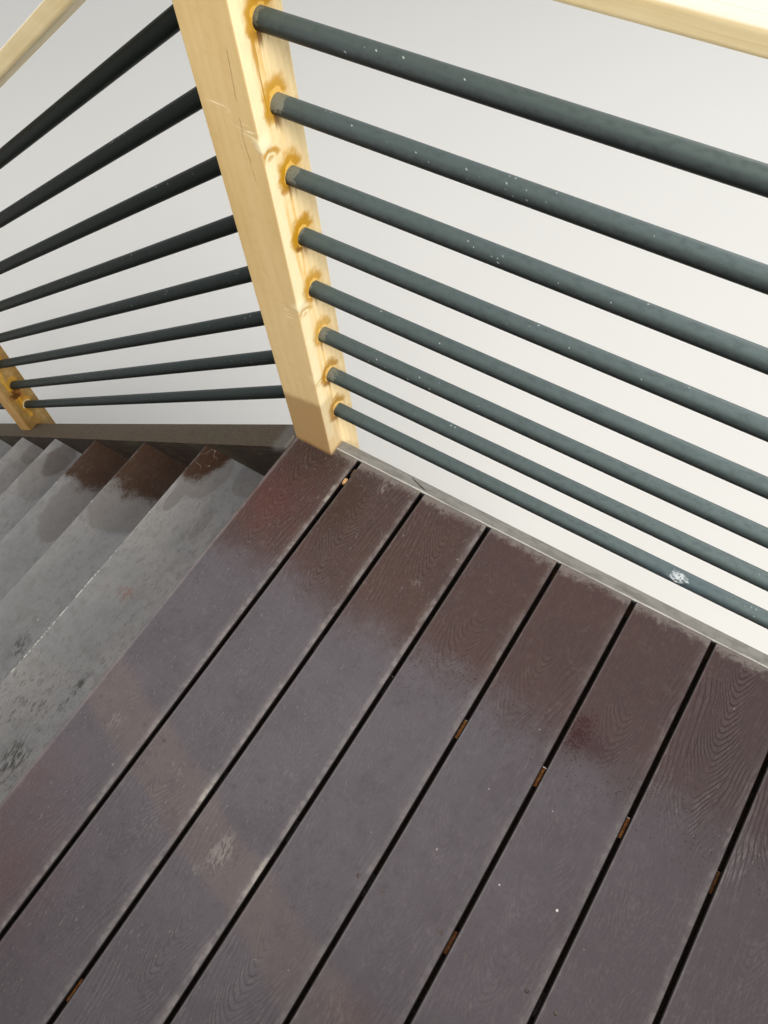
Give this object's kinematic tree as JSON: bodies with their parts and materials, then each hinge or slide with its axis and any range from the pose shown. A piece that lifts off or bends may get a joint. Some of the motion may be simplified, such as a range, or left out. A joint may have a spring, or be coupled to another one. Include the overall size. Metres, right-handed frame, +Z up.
{
  "type": "deck stairs with landing",
  "caption": "Weathered wooden stairs with housed treads that climb to a boarded landing, with pale notched posts, round slate pipes and rounded top rails on both sides",
  "frame": {"origin": "bottom centre of the bounding box, on the ground under the middle of the stairs", "axes": "+X level along the flight, climbing towards the landing, +Y across it to the side with the outer guard, +Z up"},
  "size_m": [4.4544, 1.316, 3.1274],
  "materials": {
    "red_brown_decking": "embossed composite board, damp in places",
    "grey_fascia": "weathered grey-tan board, worn pale along its joint",
    "weathered_stringer": "brown stain worn grey, dark inside face",
    "weathered_tread": "weathered grey plank with damp brown patches",
    "slate_pipe": "satin slate paint, scuffed near the posts",
    "brown_framing": "treated framing lumber",
    "pale_post": "pale planed softwood with orange-brown stains",
    "pale_rail": "pale sanded softwood"
  },
  "bodies": {
    "root": {"nosing_board": "red_brown_decking", "deck_boards": "red_brown_decking", "fascia_outer": "grey_fascia", "fascia_inner": "grey_fascia", "rim_joist_outer": "brown_framing", "rim_joist_inner": "brown_framing", "header_front": "brown_framing", "header_back": "brown_framing", "joists": "brown_framing", "beam_front": "brown_framing", "beam_back": "brown_framing", "support_post_front_outer": "brown_framing", "support_post_front_inner": "brown_framing", "support_post_back_outer": "brown_framing", "support_post_back_inner": "brown_framing", "stringer_outer": "weathered_stringer", "stringer_inner": "weathered_stringer", "tread_01": "weathered_tread", "tread_02": "weathered_tread", "tread_03": "weathered_tread", "tread_04": "weathered_tread", "tread_05": "weathered_tread", "tread_06": "weathered_tread", "tread_07": "weathered_tread", "tread_08": "weathered_tread", "tread_09": "weathered_tread", "tread_10": "weathered_tread", "corner_post_outer": "pale_post", "corner_post_inner": "pale_post", "stair_post_outer": "pale_post", "stair_post_inner": "pale_post", "foot_post_outer": "pale_post", "foot_post_inner": "pale_post", "end_post_outer": "pale_post", "end_post_inner": "pale_post", "deck_pipes_outer": "slate_pipe", "deck_pipes_inner": "slate_pipe", "upper_stair_pipes_outer": "slate_pipe", "upper_stair_pipes_inner": "slate_pipe", "lower_stair_pipes_outer": "slate_pipe", "lower_stair_pipes_inner": "slate_pipe", "deck_rail_outer": "pale_rail", "deck_rail_inner": "pale_rail", "stair_rail_outer": "pale_rail", "stair_rail_inner": "pale_rail"}
  },
  "joints": []
}
